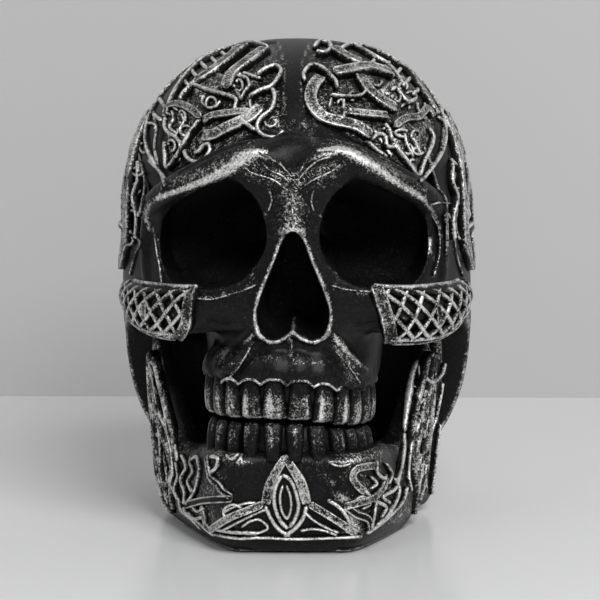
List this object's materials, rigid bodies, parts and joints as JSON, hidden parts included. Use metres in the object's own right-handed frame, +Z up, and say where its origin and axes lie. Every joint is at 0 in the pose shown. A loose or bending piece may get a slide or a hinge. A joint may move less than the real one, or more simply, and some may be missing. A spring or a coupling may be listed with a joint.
{
  "type": "skull ornament",
  "caption": "Black and silver human skull ornament that stands on its jaw, with strapwork relief on vault and jaw, lattice sleeves on the cheekbones and bared teeth.",
  "frame": {"origin": "on the surface it stands on, below the middle of the bounding box", "axes": "+Z up, the face looks along -Y, +X towards the skull's own left side, which is the viewer's right"},
  "size_m": [0.1202, 0.1456, 0.1599],
  "materials": {
    "black_resin": "satin black paint with silver rubbed on the high places",
    "rubbed_silver": "silver dry brushing over black",
    "rubbed_teeth": "dark with silver rubbed on the bellies",
    "plain_plate": "plain matte black",
    "black_felt": "felt"
  },
  "bodies": {
    "root": {"cranium_casting": "black_resin", "jaw_casting": "black_resin", "upper_teeth": "rubbed_teeth", "lower_teeth": "rubbed_teeth", "chin_knot": "rubbed_silver", "cheek_band_left": "rubbed_silver", "forehead_knot_left": "rubbed_silver", "temple_knot_left": "rubbed_silver", "jaw_panel_left": "rubbed_silver", "jaw_knot_left": "rubbed_silver", "cheek_band_right": "rubbed_silver", "forehead_knot_right": "rubbed_silver", "temple_knot_right": "rubbed_silver", "jaw_panel_right": "rubbed_silver", "jaw_knot_right": "rubbed_silver", "base_plate": "plain_plate", "felt_pad_front_left": "black_felt", "felt_pad_front_right": "black_felt", "felt_pad_rear_left": "black_felt", "felt_pad_rear_right": "black_felt"}
  },
  "joints": []
}
